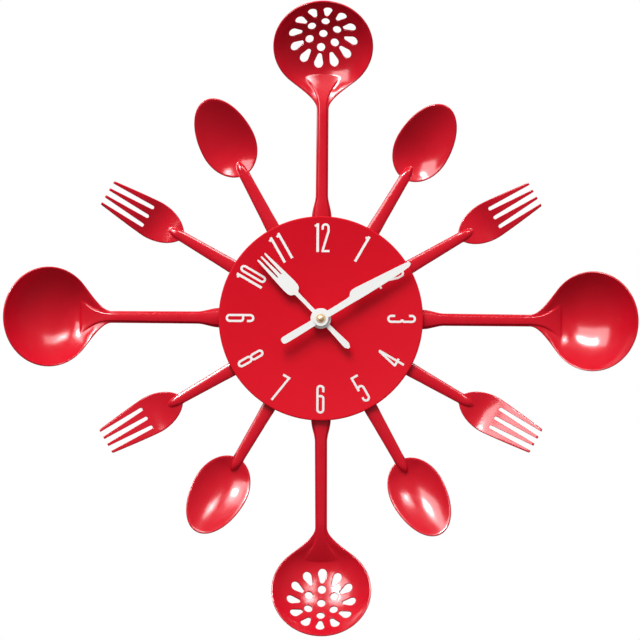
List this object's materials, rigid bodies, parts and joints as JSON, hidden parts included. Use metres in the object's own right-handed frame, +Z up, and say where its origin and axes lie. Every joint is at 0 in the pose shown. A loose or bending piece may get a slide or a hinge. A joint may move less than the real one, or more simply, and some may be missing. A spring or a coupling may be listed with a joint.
{
  "type": "wall clock",
  "caption": "Round quartz wall clock with kitchen utensils standing out like rays as hour marks, fork and knife shaped hands and a geared movement behind.",
  "frame": {"origin": "on the hands' axis, at the flat rear face of the movement, which lies against the wall", "axes": "+Z up towards twelve o'clock, the dial faces -Y, +Y points into the wall"},
  "size_m": [0.4, 0.047, 0.4],
  "materials": {
    "red_enamel": "thick gloss red enamel on pressed steel",
    "dial_red": "satin red powder coat with printed white numbers",
    "hand_white": "satin white lacquer on stamped aluminium",
    "black_plastic": "fine moulded grain",
    "white_nylon": "natural moulded acetal",
    "rotor_magnet": "sintered magnet, ground",
    "brass": "turned brass",
    "zinc_steel": "zinc plated",
    "copper_wire": "lacquered copper winding",
    "board_brown": "phenolic board",
    "battery_sleeve": "plain printed sleeve over a steel can",
    "black_rubber": "matt"
  },
  "bodies": {
    "root": {"dial_plate": "dial_red", "utensil_carrier": "black_plastic", "spoon_1": "red_enamel", "fork_2": "red_enamel", "ladle_3": "red_enamel", "fork_4": "red_enamel", "spoon_5": "red_enamel", "skimmer_6": "red_enamel", "spoon_7": "red_enamel", "fork_8": "red_enamel", "ladle_9": "red_enamel", "fork_10": "red_enamel", "spoon_11": "red_enamel", "skimmer_12": "red_enamel", "tang_screw_1": "zinc_steel", "tang_screw_2": "zinc_steel", "tang_screw_3": "zinc_steel", "tang_screw_4": "zinc_steel", "tang_screw_5": "zinc_steel", "tang_screw_6": "zinc_steel", "tang_screw_7": "zinc_steel", "tang_screw_8": "zinc_steel", "tang_screw_9": "zinc_steel", "tang_screw_10": "zinc_steel", "tang_screw_11": "zinc_steel", "tang_screw_12": "zinc_steel", "hanger": "zinc_steel", "movement_case_front": "black_plastic", "movement_case_rear": "black_plastic", "train_plate": "white_nylon", "stator": "zinc_steel", "coil_core": "zinc_steel", "coil_bobbin": "white_nylon", "coil_winding": "copper_wire", "circuit_board": "board_brown", "circuit_chip": "black_plastic", "quartz_crystal": "zinc_steel", "battery_contact_positive": "zinc_steel", "battery_contact_negative": "zinc_steel", "rubber_washer": "black_rubber", "steel_washer": "zinc_steel", "fixing_nut": "brass"},
    "minute_work": {"minute_arbor": "brass", "minute_hand": "hand_white", "hand_nut": "brass"},
    "motion_work": {"motion_wheel": "white_nylon"},
    "hour_work": {"hour_wheel": "white_nylon", "hour_hand": "hand_white"},
    "knob": {"setting_knob": "black_plastic"},
    "rotor": {"rotor": "rotor_magnet"},
    "fifth_wheel": {"fifth_wheel": "white_nylon"},
    "second_wheel": {"second_wheel": "white_nylon"},
    "third_wheel": {"third_wheel": "white_nylon"},
    "centre_wheel": {"centre_wheel": "brass"},
    "battery": {"battery": "battery_sleeve"}
  },
  "joints": [
    {"name": "minute_hand_turn", "type": "hinge", "parent": "root", "child": "minute_work", "pos_m": [0, -0.02, 0], "axis": [0, 1, 0], "continuous": true},
    {"name": "motion_wheel_turn", "type": "hinge", "parent": "root", "child": "motion_work", "pos_m": [-0.00945, -0.011, -0.00167], "axis": [0, 1, 0], "continuous": true},
    {"name": "hour_hand_turn", "type": "hinge", "parent": "root", "child": "hour_work", "pos_m": [0, -0.02, 0], "axis": [0, 1, 0], "continuous": true},
    {"name": "setting_knob_turn", "type": "hinge", "parent": "root", "child": "knob", "pos_m": [-0.01891, -0.005, -0.00333], "axis": [0, 1, 0], "continuous": true},
    {"name": "rotor_turn", "type": "hinge", "parent": "root", "child": "rotor", "pos_m": [-0.01018, -0.005, 0.01162], "axis": [0, 1, 0], "continuous": true},
    {"name": "fifth_wheel_turn", "type": "hinge", "parent": "root", "child": "fifth_wheel", "pos_m": [-0.00522, -0.005, 0.00745], "axis": [0, 1, 0], "continuous": true},
    {"name": "second_wheel_turn", "type": "hinge", "parent": "root", "child": "second_wheel", "pos_m": [0, -0.005, 0], "axis": [0, 1, 0], "continuous": true},
    {"name": "third_wheel_turn", "type": "hinge", "parent": "root", "child": "third_wheel", "pos_m": [0.00836, -0.005, 0.00304], "axis": [0, 1, 0], "continuous": true},
    {"name": "centre_wheel_turn", "type": "hinge", "parent": "root", "child": "centre_wheel", "pos_m": [0, -0.008, 0], "axis": [0, 1, 0], "continuous": true},
    {"name": "battery_slide", "type": "slide", "parent": "root", "child": "battery", "axis": [0, 1, 0], "range_m": [0, 0.02]}
  ],
  "couplings": [
    {"joint": "motion_wheel_turn", "follows": "minute_hand_turn", "ratio": -0.33333},
    {"joint": "hour_hand_turn", "follows": "minute_hand_turn", "ratio": 0.083333},
    {"joint": "setting_knob_turn", "follows": "minute_hand_turn", "ratio": 1},
    {"joint": "fifth_wheel_turn", "follows": "rotor_turn", "ratio": -0.2},
    {"joint": "second_wheel_turn", "follows": "rotor_turn", "ratio": 0.033333},
    {"joint": "third_wheel_turn", "follows": "rotor_turn", "ratio": -0.0044444},
    {"joint": "centre_wheel_turn", "follows": "rotor_turn", "ratio": 0.00055556}
  ]
}
